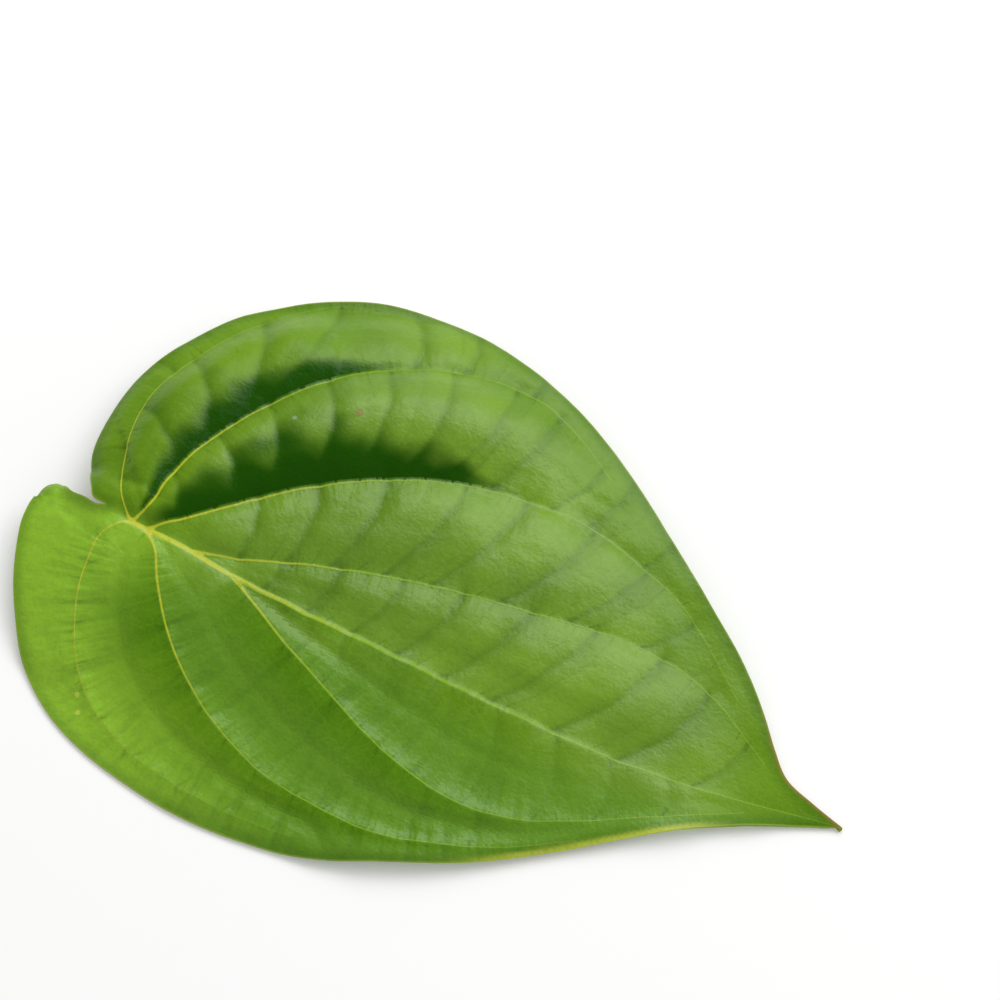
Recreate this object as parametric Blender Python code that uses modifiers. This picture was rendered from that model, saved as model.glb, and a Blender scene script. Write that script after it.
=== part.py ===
"""A fresh betel leaf, grown as one piece: blade, main veins, cross veins and the cut stalk.

The frame has its origin under the middle of the leaf's box, on the surface that it lies on.
+X runs from the stalk to the tip, +Y to the leaf's left, and +Z is up.
The shape is worked out in millimetres, with (0, 0) where the stalk meets the blade.
"""
import math

import bmesh
import bpy
import numpy as np
from mathutils import Matrix, Vector
from mathutils.geometry import delaunay_2d_cdt

NODE = "betel_leaf"
MM = 0.001

# The blade
TIP = 110.0               # from the stalk to the tip
BLADE = 0.70              # thickness between the veins
EDGE_STEP = 1.8           # spacing of the points along the margin
VEIN_STEP = 2.0           # and along the main veins
CROSS_STEP = 2.0          # and along the cross veins
FILL_STEP = 2.0           # and between them
FILL_GAP = 1.10           # the least distance from a fill point to a cross vein or the margin
RIB_SIDE = 0.95           # from the middle of a main vein to the foot of its rib

# How far the ribs stand out of the underside at the stalk, and at the far end of each vein
MIDRIB_RIB = (1.5, 0.35)
MAIN_RIB = (0.85, 0.22)
CROSS_RIB = 0.14

# How deep the furrows over the veins are on the upper side, and how wide
MIDRIB_FURROW = (0.75, 2.2)
MAIN_FURROW = (0.60, 1.6)
CROSS_FURROW = (0.95, 1.9)
ROUNDING = 0.22           # how blunt the bottom of a furrow is
NEAR_DEPTH = 0.20         # the near half's main furrows, as a share of the far half's
NEAR_RUNGS = 0.6          # and its cross veins' furrows

# The stalk, cut off under the lobes: its ends as (along, across, up, radius)
STALK_INNER = (5.5, -0.3, 5.7, 0.55)
STALK_CUT = (-6.5, 0.4, 4.3, 1.35)

# The flats that the leaf lies on: middle (along, across) and radius
PADS = {
    "near_lobe": (9.5, -31.8, 1.3),
    "far_lobe": (8.5, 48.6, 1.3),
    "tip": (104.3, -0.3, 1.1),
}

PAD_BORDER = 0.8          # over this width the underside rises from the flat to its own height
PAD_BLEND = 3.0           # and over this width the level upper side over it takes up its slope
LIFT = 0.03               # the least height of the underside between the flats
LANDING = 0.5             # how softly the blade comes down to that height

# The margin as (along, across), from the notch between the lobes to the tip
FAR_MARGIN = ((-4.5, 1.8), (-6.8, 2.5), (-8.9, 4.2), (-11.2, 8.7), (-12.1, 15), (-11.9, 21.5),
              (-10.4, 28), (-7.3, 34.8), (-3.2, 41.3), (2.5, 47), (9, 50.8), (16, 53.2), (24.3, 53.7),
              (32.5, 52.5), (42, 49.6), (52, 45.3), (62, 39), (71, 31.8), (80, 24.3), (88, 17.8),
              (93.3, 12.3), (97.3, 7.2), (100.5, 3.8), (105, 1.9), (TIP, 0.2))
NEAR_MARGIN = ((-4.5, 1.8), (-7.2, 2), (-10.5, 2), (-13.6, 2), (-15.3, 0.4), (-15.9, -2), (-15, -6),
               (-12.6, -12.2), (-9.8, -18), (-5.4, -24), (1, -29.2), (8, -33), (16, -35.4),
               (25, -36.5), (35, -36.1), (45, -34.2), (55, -30.6), (65, -26), (75, -19.7),
               (85, -12.7), (93, -7.6), (100, -4), (105, -1.8), (TIP, 0.2))
MIDRIB = ((0, 0), (7.5, -0.4), (16, -1.6), (29, -2.6), (44, -3.3), (60, -4.1), (78, -4), (94, -2.1),
          (104.5, -0.5), (TIP, 0.2))

# The main veins on each side, from the midrib outwards
MAIN_VEINS = {
    "far_inner": ((10, -0.6), (17.3, 1.2), (25.4, 3.9), (34.9, 6.6), (46.5, 9.1), (57.8, 10.8),
                  (69.7, 12.8), (78.7, 12.8), (85.7, 11.1), (91.7, 7.9), (96.8, 4.6)),
    "far_second": ((2.5, -0.2), (4.8, 2), (8.8, 5.1), (14.4, 10.3), (20.1, 14.9), (27.5, 19.6),
                   (35.1, 23.4), (43.8, 26.3), (53.4, 27.5), (60.8, 27.7), (71.9, 24.3), (77.9, 21.4),
                   (83.9, 16.8), (89.8, 11.8)),
    "far_third": ((0, 0), (1.5, 3.8), (1.9, 8.3), (3.4, 14.2), (6.7, 21.5), (10.9, 28.1), (16.8, 34.9),
                  (23.9, 40.4), (30.7, 43.6), (38, 44.9), (45.6, 44.6), (52.6, 41.4), (59.9, 36.7)),
    "far_outer": ((0, 0), (-3.1, 3.3), (-5.4, 8), (-7.2, 14.3), (-7.7, 20.1), (-6.3, 26.6),
                  (-3.4, 33.7), (1.6, 43), (7.7, 49), (14.6, 51.6)),
    "near_inner": ((17, -1.8), (21.5, -4.1), (28.1, -7.8), (36.7, -11.8), (44.7, -15.4), (51.6, -17.7),
                   (59.4, -19), (67.4, -18.1), (74.7, -15.2), (84.1, -10.2), (91.4, -6.3),
                   (96.8, -3.4)),
    "near_second": ((2.5, -0.3), (5.4, -2.7), (8, -7), (12.4, -12.7), (17.8, -17.7), (24.8, -22.3),
                    (33.2, -25.8), (42, -27.2), (51.5, -27.5), (59.8, -25.5), (68.4, -22.1),
                    (76.9, -17.1)),
    "near_third": ((0, 0), (-1.5, -1), (-3.2, -3), (-3.4, -5.6), (-2.9, -10.4), (-1.1, -15.7),
                   (2.1, -21.3), (6.8, -26), (13.6, -29.6), (21.7, -31.7), (31.7, -32.7),
                   (41.4, -32.4)),
}

# The panels between the veins: outer and inner line, first and last cross vein's place on the outer
# line, number of cross veins, how much the panel swells for its width (less than 0 for a hollow),
# and how far its cross veins lean towards the tip
PANELS = (
    ("far_inner", "midrib", 0.14, 0.96, 9, 0.040, 1.05),
    ("far_second", "far_inner", 0.16, 0.97, 9, 0.045, 1.20),
    ("far_third", "far_second", 0.12, 0.97, 9, 0.130, 0.55),
    ("far_outer", "far_third", 0.12, 0.90, 5, 0.130, 1.30),
    ("far_margin", "far_outer", 0.06, 0.36, 4, 0.020, 0.0),
    ("far_margin", "far_third", 0.40, 0.60, 4, 0.060, 0.1),
    ("far_margin", "far_second", 0.66, 0.86, 4, 0.040, 0.2),
    ("near_inner", "midrib", 0.24, 0.96, 8, -0.050, 0.2),
    ("near_second", "near_inner", 0.22, 0.97, 7, -0.035, 0.1),
    ("near_third", "near_second", 0.14, 0.96, 8, -0.010, 0.0),
    ("near_margin", "near_third", 0.08, 0.50, 7, 0.020, 0.0),
    ("near_margin", "near_second", 0.58, 0.74, 3, 0.030, 0.0),
)

# Heights of the upper side, as (along, height)
MIDRIB_HEIGHT = ((0, 8.0), (28, 7.6), (55, 6.2), (82, 3.3), (94, 1.4), (102, 0.8), (TIP, 0.9))
FAR_EDGE_HEIGHT = ((-12, 5.0), (-4, 2.4), (3, -0.9), (13, -0.9), (30, 2.0), (50, 3.6), (70, 3.6),
                   (88, 2.6), (100, 1.3), (TIP, 0.9))
NEAR_EDGE_HEIGHT = ((-15, 3.5), (-8, 2.2), (2, -0.8), (15, -0.8), (30, 0.5), (50, 1.6), (70, 2.0),
                    (90, 1.6), (102, 1.0), (TIP, 0.9))
CROWN_HEIGHT = ((-14, 1.2), (0, 1.2), (12, 1.2), (30, 1.6), (60, 1.3), (85, 0.1), (95, -0.2), (106, 0))
NEAR_CROWN = 0.0          # the near half's crown, as a share of the far half's
FAR_TURN = 2.6            # how late the blade turns down to its margin: 1 is a straight slope
NEAR_TURN = 1.7


def clear_scene():
    for thing in list(bpy.data.objects):
        bpy.data.objects.remove(thing, do_unlink=True)


def smooth_line(points, step):
    """A Catmull-Rom line through the points, cut into equal lengths near step."""
    p = np.array(points, float)
    p = np.vstack([2 * p[0] - p[1], p, 2 * p[-1] - p[-2]])
    t = np.linspace(0, 1, 17)[:-1, None]
    spans = []
    for a, b, c, d in zip(p[:-3], p[1:-2], p[2:-1], p[3:]):
        spans.append(0.5 * (2 * b + (c - a) * t + (2 * a - 5 * b + 4 * c - d) * t ** 2
                            + (3 * b - a - 3 * c + d) * t ** 3))
    line = np.vstack(spans + [p[-2:-1]])
    return resample(line, step)


def resample(line, step):
    reach = np.concatenate([[0], np.cumsum(np.linalg.norm(np.diff(line, axis=0), axis=1))])
    count = max(2, round(reach[-1] / step) + 1)
    places = np.linspace(0, reach[-1], count)
    return np.stack([np.interp(places, reach, line[:, axis]) for axis in (0, 1)], axis=1)


def distance_along(points, line):
    """Each point's distance to a line, and how far along the line its nearest place is, 0 to 1."""
    best = np.full(len(points), 1e9)
    place = np.zeros(len(points))
    for index, (start, end) in enumerate(zip(line[:-1], line[1:])):
        run = end - start
        part = np.clip((points - start) @ run / (run @ run), 0, 1)
        away = np.linalg.norm(points - start - part[:, None] * run, axis=1)
        nearer = away < best
        best[nearer] = away[nearer]
        place[nearer] = (index + part[nearer]) / (len(line) - 1)
    return best, place


def snap(line, other):
    """Start a line on the nearest point of another."""
    nearest = np.argmin(np.linalg.norm(other - line[0], axis=1))
    line[0] = other[nearest]
    return line


def leaf_lines():
    """The margin, the midrib and the main veins as lines of points."""
    lines = {"midrib": smooth_line(MIDRIB, VEIN_STEP)}
    lines["far_margin"] = smooth_line(FAR_MARGIN, EDGE_STEP)
    lines["near_margin"] = smooth_line(NEAR_MARGIN, EDGE_STEP)
    for name, points in MAIN_VEINS.items():
        lines[name] = snap(smooth_line(points, VEIN_STEP), lines["midrib"])
    return lines


def left_of(points, line):
    """Each point's distance to the left of a line, negative on its right, and its place."""
    away, place = distance_along(points, line)
    at = np.clip((place * (len(line) - 1)).astype(int), 0, len(line) - 2)
    run, gap = line[at + 1] - line[at], points - line[at]
    return away * np.sign(run[:, 0] * gap[:, 1] - run[:, 1] * gap[:, 0]), place


def soft_step(value, low, high):
    t = np.clip((value - low) / (high - low), 0, 1)
    return t * t * (3 - 2 * t)


def uneven(number):
    """A fixed value between -1 and 1 that looks random and is the same in each run."""
    return 2 * ((math.sin(number * 12.9898) * 43758.5453) % 1) - 1


def cross_veins(lines):
    """Rungs from each outer line to the line inside it, and how strong each is."""
    rungs = []
    for panel, (outer, inner, first, last, count, _, lean) in enumerate(PANELS):
        outer_line, inner_line = lines[outer], lines[inner]
        for index, place in enumerate(np.linspace(first, last, count)):
            seed = 29 * panel + 2 * index + 1
            place += 0.12 * uneven(seed) * (last - first) / count
            start = outer_line[round(min(place, 0.99) * (len(outer_line) - 1))]
            nearest = np.argmin(np.linalg.norm(inner_line - start, axis=1))
            length = np.linalg.norm(inner_line[nearest] - start)
            if length < 3.5:
                continue
            back = lean * place * (length - 3) / VEIN_STEP
            end = inner_line[max(1, nearest - round(back))]
            length = np.linalg.norm(end - start)
            t = np.linspace(0, 1, max(1, round(length / CROSS_STEP)) + 1)[:, None]
            bow = np.array([0.10 * length + 0.35 * uneven(seed + 40), 0]) * 4 * t * (1 - t)
            strength = 0.85 + 0.3 * uneven(seed + 7)
            if outer.startswith("near"):
                strength *= NEAR_RUNGS
            rungs.append((start + (end - start) * t + bow, strength))
    return rungs


def curve_value(table, along):
    places, heights = zip(*table)
    fine = np.linspace(places[0], places[-1], 120)
    rough = np.interp(fine, places, heights)
    soft = np.convolve(np.pad(rough, 6, mode="edge"), np.hanning(15)[1:-1] / np.hanning(15).sum(),
                       mode="valid")
    return np.interp(along, fine, soft)


def dome(points, lines):
    """The upper side's height without swellings and furrows: an arched blade, its margin turned down."""
    along, across = points.T
    to_rib, _ = distance_along(points, lines["midrib"])
    to_far, _ = distance_along(points, lines["far_margin"][5:])
    to_near, _ = distance_along(points, lines["near_margin"][7:])
    share = to_rib / (to_rib + np.minimum(to_far, to_near) + 1e-9)
    near_edge = curve_value(NEAR_EDGE_HEIGHT, along)
    side = 0.5 + 0.5 * np.tanh((across - 1.0) / 1.5)
    edge = near_edge + (curve_value(FAR_EDGE_HEIGHT, along) - near_edge) * side
    turn = share ** (NEAR_TURN + (FAR_TURN - NEAR_TURN) * side)
    wave = 0.55 * share ** 4 * np.sin(along / 6.1 + 1.1 * np.sign(across))
    crown = curve_value(CROWN_HEIGHT, along) * np.sin(math.pi * share)
    crown = crown * (NEAR_CROWN + (1 - NEAR_CROWN) * side)
    return curve_value(MIDRIB_HEIGHT, along) * (1 - turn) + edge * turn + crown + wave


def swellings(points, lines):
    """How far each panel between two veins stands above them, or below them where it is a hollow."""
    measured = {name: left_of(points, line) for name, line in lines.items()}
    swell = np.zeros(len(points))
    for outer, inner, _, _, _, rise, _ in PANELS:
        side = 1 if outer.startswith("far") else -1
        to_inner, inner_place = measured[inner]
        to_outer, outer_place = measured[outer]
        between = (side * to_inner > 0) & (side * to_outer < 0)
        for name, place in ((inner, inner_place), (outer, outer_place)):
            if name in MAIN_VEINS:
                between = between * soft_step(place, 0.0, 0.02) * soft_step(1 - place, 0.0, 0.3)
        width = np.abs(to_inner) + np.abs(to_outer) + 1e-9
        swell += between * rise * width * np.sin(math.pi * np.abs(to_inner) / width)
    return swell


def furrow_shape(away, width):
    """1 in the bottom of a furrow, falling off quickly at first and slowly later."""
    return np.exp(-(np.sqrt(away ** 2 + ROUNDING ** 2) - ROUNDING) / width)


def relief(points, lines, rungs):
    """The depth of the furrows on the upper side and the height of the ribs below."""
    furrow = np.zeros(len(points))
    rib = np.zeros(len(points))
    far_side = 0.5 + 0.5 * np.tanh(left_of(points, lines["midrib"])[0] / 0.4)
    for name in ["midrib", *MAIN_VEINS]:
        away, place = distance_along(points, lines[name])
        depth, width = MIDRIB_FURROW if name == "midrib" else MAIN_FURROW
        thick, thin = MIDRIB_RIB if name == "midrib" else MAIN_RIB
        depth = depth * (1 - 0.72 * place) * (NEAR_DEPTH + (1 - NEAR_DEPTH) * far_side)
        furrow = np.maximum(furrow, depth * furrow_shape(away, width))
        rib = np.maximum(rib, (thick + (thin - thick) * place) * np.exp(-(away / 0.9) ** 2))
    for rung, strength in rungs:
        near = np.abs(points - rung.mean(axis=0)).max(axis=1) < 16
        away, _ = distance_along(points[near], rung)
        depth, width = CROSS_FURROW
        crease = depth * strength * furrow_shape(away, width)
        furrow[near] = furrow[near] + crease * np.clip(1 - furrow[near] / 1.2, 0.2, 1)
        rib[near] = np.maximum(rib[near], CROSS_RIB * strength * np.exp(-(away / 0.7) ** 2))
    return furrow, rib


def fill_points(lines, rungs):
    """A triangular pattern over the blade, kept clear of the veins and the margin."""
    far, near = lines["far_margin"], lines["near_margin"]
    ring = np.vstack([far, near[-2:0:-1]])
    low, high = ring.min(axis=0), ring.max(axis=0)
    pattern = []
    for row, y in enumerate(np.arange(low[1], high[1], FILL_STEP * math.sqrt(3) / 2)):
        for x in np.arange(low[0] + (row % 2) * FILL_STEP / 2, high[0], FILL_STEP):
            pattern.append((x, y))
    pattern = np.array(pattern)
    inside = np.zeros(len(pattern), bool)
    for (x0, y0), (x1, y1) in zip(ring, np.roll(ring, -1, axis=0)):
        crosses = (y0 > pattern[:, 1]) != (y1 > pattern[:, 1])
        at = x0 + (pattern[:, 1] - y0) * (x1 - x0) / (y1 - y0 if y1 != y0 else 1)
        inside ^= crosses & (pattern[:, 0] < at)
    clear = inside
    for name, line in lines.items():
        away, _ = distance_along(pattern, line)
        clear &= away > (FILL_GAP if name.endswith("margin") else RIB_SIDE + 0.8)
    for rung, _ in rungs:
        away, _ = distance_along(pattern, rung)
        clear &= away > FILL_GAP
    for x, y, radius in PADS.values():
        clear &= np.hypot(pattern[:, 0] - x, pattern[:, 1] - y) > radius + PAD_BORDER + 0.7
    return pattern[clear]


def rib_feet(lines, rungs):
    """Points on both sides of the midrib and the main veins, where their ribs meet the blade."""
    feet = []
    for name in ["midrib", *MAIN_VEINS]:
        line = lines[name]
        run = np.gradient(line, axis=0)
        side = np.stack([-run[:, 1], run[:, 0]], axis=1) / np.linalg.norm(run, axis=1)[:, None]
        middle = (line[1:] + line[:-1]) / 2
        side = (side[1:] + side[:-1]) / 2
        most = round(0.85 * len(middle))
        for way in (-RIB_SIDE, RIB_SIDE):
            feet.append((middle + way * side)[1:most])
    feet = np.vstack(feet)
    clear = np.ones(len(feet), bool)
    for line in [*lines.values(), *(rung for rung, _ in rungs)]:
        away, _ = distance_along(feet, line)
        clear &= away > 0.55
    for x, y, radius in PADS.values():
        clear &= np.hypot(feet[:, 0] - x, feet[:, 1] - y) > radius + PAD_BORDER + 0.7
    return feet[clear]


def pad_points():
    """The middle of each flat, six points round it, and twelve round its border."""
    points = []
    for x, y, radius in PADS.values():
        points.append((x, y))
        for count, reach in ((6, radius), (12, radius + PAD_BORDER)):
            for turn in range(count):
                angle = math.radians(360 * turn / count + 30)
                points.append((x + reach * math.cos(angle), y + reach * math.sin(angle)))
    return np.array(points)


def plan_mesh(lines, rungs):
    """Triangles over the leaf's outline, with an edge along every vein."""
    points, links = [], []

    def add(line):
        first = len(points)
        points.extend(line)
        links.extend((first + k, first + k + 1) for k in range(len(line) - 1))

    ring = np.vstack([lines["far_margin"], lines["near_margin"][-2:0:-1]])
    add(ring)
    links.append((len(ring) - 1, 0))
    for name in ["midrib", *MAIN_VEINS]:
        add(lines[name])
    for rung, _ in rungs:
        add(rung)
    points.extend(pad_points())
    points.extend(rib_feet(lines, rungs))
    points.extend(fill_points(lines, rungs))
    vectors = [Vector((float(x), float(y))) for x, y in points]
    found = delaunay_2d_cdt(vectors, links, [], 1, 0.02)
    return np.array([tuple(v) for v in found[0]]), found[2]


def blade_sheet(lines, rungs):
    """The upper side as an open sheet, and how thick the blade is under each of its points."""
    plan, faces = plan_mesh(lines, rungs)
    furrow, rib = relief(plan, lines, rungs)
    rise = dome(plan, lines) + swellings(plan, lines) - furrow - BLADE - LIFT
    top = BLADE + LIFT + (rise + np.sqrt(rise ** 2 + LANDING ** 2)) / 2
    flat = np.zeros(len(plan))
    for x, y, radius in PADS.values():
        away = np.hypot(plan[:, 0] - x, plan[:, 1] - y)
        border = radius + PAD_BORDER + 0.05
        level = 1 - soft_step(away, border, border + PAD_BLEND)
        top += (top[np.argmin(away)] - top) * level
        flat += 1 - soft_step(away, radius + 0.05, border)
    thick = np.minimum(BLADE + rib, top - LIFT)
    return plan, faces, top, thick + (top - thick) * flat


def make_blade(collection, lines, rungs):
    plan, faces, top, thick = blade_sheet(lines, rungs)
    mesh = bpy.data.meshes.new(NODE)
    corners = [(x * MM, y * MM, z * MM) for (x, y), z in zip(plan, top)]
    mesh.from_pydata(corners, [], [tuple(face) for face in faces])
    mesh.update()
    leaf = bpy.data.objects.new(NODE, mesh)
    collection.objects.link(leaf)
    most = float(thick.max())
    group = leaf.vertex_groups.new(name="thickness")
    for index, value in enumerate(thick):
        group.add([index], float(value) / most, "REPLACE")
    shell = leaf.modifiers.new("blade", "SOLIDIFY")
    shell.thickness = most * MM
    shell.offset = -1
    shell.vertex_group = "thickness"
    return leaf


def make_stalk(cutters):
    """A short tapered stub that runs into the midrib from under the lobes."""
    inner, cut = Vector(STALK_INNER[:3]), Vector(STALK_CUT[:3])
    axis = cut - inner
    form = bmesh.new()
    bmesh.ops.create_cone(form, cap_ends=True, segments=14, radius1=STALK_INNER[3],
                          radius2=STALK_CUT[3], depth=axis.length)
    place = Matrix.Translation((inner + cut) / 2) @ axis.to_track_quat("Z", "Y").to_matrix().to_4x4()
    bmesh.ops.transform(form, matrix=Matrix.Scale(MM, 4) @ place, verts=form.verts)
    mesh = bpy.data.meshes.new("stalk_stub")
    form.to_mesh(mesh)
    form.free()
    stub = bpy.data.objects.new("stalk_stub", mesh)
    stub.hide_render = True
    stub.display_type = "WIRE"
    cutters.objects.link(stub)
    return stub


def leaf_material():
    material = bpy.data.materials.new("leaf green")
    material.use_nodes = True
    shader = material.node_tree.nodes["Principled BSDF"]
    shader.inputs["Base Color"].default_value = (0.105, 0.235, 0.025, 1)
    shader.inputs["Roughness"].default_value = 0.42
    shader.inputs["Metallic"].default_value = 0.0
    return material


def centre_on_box(leaf, stub):
    """Move the leaf and its stalk so that the origin is under the middle of the leaf's box."""
    bpy.context.view_layer.update()
    shell = leaf.evaluated_get(bpy.context.evaluated_depsgraph_get())
    corners = np.array([tuple(corner) for corner in shell.bound_box])
    middle = (corners.min(axis=0) + corners.max(axis=0)) / 2
    leaf.location = (-middle[0], -middle[1], 0)
    stub.location = leaf.location


def build():
    clear_scene()
    collection = bpy.data.collections.new("betel leaf")
    cutters = bpy.data.collections.new("joined shapes")
    bpy.context.scene.collection.children.link(collection)
    bpy.context.scene.collection.children.link(cutters)
    lines = leaf_lines()
    rungs = cross_veins(lines)
    leaf = make_blade(collection, lines, rungs)
    stub = make_stalk(cutters)
    centre_on_box(leaf, stub)
    union = leaf.modifiers.new("stalk", "BOOLEAN")
    union.operation = "UNION"
    union.object = stub
    leaf.data.materials.append(leaf_material())
    stub.data.materials.append(leaf.data.materials[0])


build()
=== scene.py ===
# %% [markdown]
# # A fresh betel leaf
#
# A betel leaf is one thin blade, about as long as a hand. It has a pale midrib, main veins that
# leave the stalk together and curve towards the tip, and fine cross veins like the rungs of a ladder.
# The blade bulges between its veins, so a smooth heart would look like plastic.
# This lesson works the leaf out from a few drawn lines: the margin, the midrib and the veins.
# Everything else, the heights, the furrows and the colours, is worked out from the distance to those
# lines and from how far along the leaf a point lies.

# %% Load the solid leaf and keep its box
import math

import bmesh
import bpy
import numpy as np
from mathutils import Matrix, Vector, kdtree, noise
from mathutils.geometry import delaunay_2d_cdt


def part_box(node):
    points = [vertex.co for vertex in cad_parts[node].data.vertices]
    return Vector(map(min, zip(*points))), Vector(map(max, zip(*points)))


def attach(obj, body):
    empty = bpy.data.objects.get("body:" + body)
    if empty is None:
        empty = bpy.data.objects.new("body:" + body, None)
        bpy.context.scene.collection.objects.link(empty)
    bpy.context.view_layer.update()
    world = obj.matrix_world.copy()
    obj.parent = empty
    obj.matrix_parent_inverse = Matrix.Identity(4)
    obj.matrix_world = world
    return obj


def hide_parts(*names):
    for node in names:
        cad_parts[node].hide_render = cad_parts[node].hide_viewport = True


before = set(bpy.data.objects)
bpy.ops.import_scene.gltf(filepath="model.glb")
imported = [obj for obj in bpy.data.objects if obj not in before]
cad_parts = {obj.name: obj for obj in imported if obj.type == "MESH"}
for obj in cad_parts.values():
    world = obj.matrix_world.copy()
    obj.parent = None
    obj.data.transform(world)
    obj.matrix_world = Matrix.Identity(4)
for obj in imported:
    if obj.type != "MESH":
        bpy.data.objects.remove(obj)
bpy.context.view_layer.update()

MM = 0.001
leaf_low, leaf_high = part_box("betel_leaf")
print("the solid leaf is", [round((b - a) / MM, 1) for a, b in zip(leaf_low, leaf_high)], "mm")

# %% [markdown]
# ## The lines that draw the leaf
#
# A botanist would describe the leaf by its outline and its veins, so the shape is held that way too.
# Each line is a handful of points in millimetres, measured along the leaf from the stalk and across
# it to the left. A Catmull-Rom curve passes through every point, so a point in the list is a point
# on the leaf. Drawing with Bezier handles would need three points for each of these.

# %% The margin, the midrib and the main veins, as (along, across)
TIP = 110.0
NOTCH = (-4.5, 0.9)   # where the two halves of the margin meet, between the lobes
FAR_MARGIN = (NOTCH, (-6.7, 1.3), (-7.9, 2.8), (-9.6, 5.2), (-11.7, 9.4), (-12.4, 15), (-12.2, 21.5),
              (-10.5, 28), (-7.3, 34.8), (-3.2, 41.3), (2.5, 47), (9, 50.8), (16, 53.2), (24.3, 53.7),
              (32.5, 52.5), (42, 49.6), (52, 45.3), (62, 39), (71, 31.8), (80, 24.3), (88, 17.8),
              (93.3, 12.3), (97.3, 7.2), (100.5, 3.8), (105, 1.9), (TIP, 0.2))
NEAR_MARGIN = (NOTCH, (-6.2, 0.7), (-8.2, 1.2), (-10.6, 1.7), (-12.4, 2.6), (-14, 2.8), (-15.5, 1.7),
               (-16.2, -0.4), (-16.3, -2.5), (-15.6, -6), (-13.1, -12.2), (-9.8, -18), (-5.4, -24),
               (1, -29), (8, -32.2), (16, -34.3), (25, -35.7), (35, -35.6), (45, -34.2), (55, -30.6),
               (65, -26), (75, -19.7), (85, -12.7), (93, -7.6), (100, -4), (105, -1.8), (TIP, 0.2))
MIDRIB = ((0, 0), (7.5, -0.4), (16, -1.6), (29, -2.6), (44, -3.3), (60, -4.1), (78, -4), (94, -2.1),
          (104.5, -0.5), (TIP, 0.2))
MAIN_VEINS = {
    "far_inner": ((10, -0.6), (17.3, 1.2), (25.4, 3.9), (34.9, 6.6), (46.5, 9.1), (57.8, 10.8),
                  (69.7, 12.8), (78.7, 12.8), (85.7, 11.1), (91.7, 7.9), (96.8, 4.6)),
    "far_second": ((2.5, -0.2), (4.8, 2), (8.8, 5.1), (14.4, 10.3), (20.1, 14.9), (27.5, 19.6),
                   (35.1, 23.4), (43.8, 26.3), (53.4, 27.5), (60.8, 27.7), (71.9, 24.3), (77.9, 21.4),
                   (83.9, 16.8), (89.8, 11.8)),
    "far_third": ((0, 0), (1.5, 3.8), (1.9, 8.3), (3.4, 14.2), (6.7, 21.5), (10.9, 28.1), (16.8, 34.9),
                  (23.9, 40.4), (30.7, 43.6), (38, 44.9), (45.6, 44.6), (52.6, 41.4), (59.9, 36.7)),
    "far_outer": ((0, 0), (-3.1, 3.3), (-5.4, 8), (-7.2, 14.3), (-7.7, 20.1), (-6.3, 26.6),
                  (-3.4, 33.7), (1.6, 43), (7.7, 49), (14.6, 51.6)),
    "near_inner": ((17, -1.8), (21.5, -4.1), (28.1, -7.8), (36.7, -11.8), (44.7, -15.4), (51.6, -17.7),
                   (59.4, -19), (67.4, -18.1), (74.7, -15.2), (84.1, -10.2), (91.4, -6.3),
                   (96.8, -3.4)),
    "near_second": ((2.5, -0.3), (5.4, -2.7), (8, -7), (12.4, -12.7), (17.8, -17.7), (24.8, -22.3),
                    (33.2, -25.8), (42, -27.2), (51.5, -27.5), (59.8, -25.5), (68.4, -22.1),
                    (76.9, -17.1)),
    "near_third": ((0, 0), (-1.5, -1), (-3.2, -3), (-3.4, -5.6), (-2.9, -10.4), (-1.1, -15.7),
                   (2.1, -21.3), (6.8, -26), (13.6, -29.6), (21.7, -31.7), (31.7, -32.7),
                   (41.4, -32.4)),
}
print(len(MAIN_VEINS), "main veins beside the midrib")

# %% Turn a few points into a smooth line of many
LINE_STEP = 0.5   # between points along a vein or the margin, in mm


def even_steps(line, step):
    """The same line with its points an equal distance apart."""
    reach = np.concatenate([[0], np.cumsum(np.linalg.norm(np.diff(line, axis=0), axis=1))])
    count = max(2, round(reach[-1] / step) + 1)
    places = np.linspace(0, reach[-1], count)
    return np.stack([np.interp(places, reach, line[:, axis]) for axis in (0, 1)], axis=1)


def smooth_line(points, step=LINE_STEP):
    """A Catmull-Rom curve through the points."""
    p = np.array(points, float)
    p = np.vstack([2 * p[0] - p[1], p, 2 * p[-1] - p[-2]])
    t = np.linspace(0, 1, 17)[:-1, None]
    spans = []
    for a, b, c, d in zip(p[:-3], p[1:-2], p[2:-1], p[3:]):
        spans.append(0.5 * (2 * b + (c - a) * t + (2 * a - 5 * b + 4 * c - d) * t ** 2
                            + (3 * b - a - 3 * c + d) * t ** 3))
    return even_steps(np.vstack(spans + [p[-2:-1]]), step)


def start_on(line, other):
    """Let a vein start on the nearest point of the line that it grows from."""
    line[0] = other[np.argmin(np.linalg.norm(other - line[0], axis=1))]
    return line


lines = {"midrib": smooth_line(MIDRIB), "far_margin": smooth_line(FAR_MARGIN),
         "near_margin": smooth_line(NEAR_MARGIN)}
for vein_name, vein_points in MAIN_VEINS.items():
    lines[vein_name] = start_on(smooth_line(vein_points), lines["midrib"])
print("the lines hold", sum(len(line) for line in lines.values()), "points")

# %% [markdown]
# ## The cross veins
#
# Between two main veins run thin rungs, a little bowed and never quite even. Each rung starts on the
# outer vein and aims at the nearest point of the inner one, so it would be square to them without any
# angle being worked out. Its end then moves back towards the stalk, by how far its panel's rungs lean.
# A weaker rung goes between each two strong ones.

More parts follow.
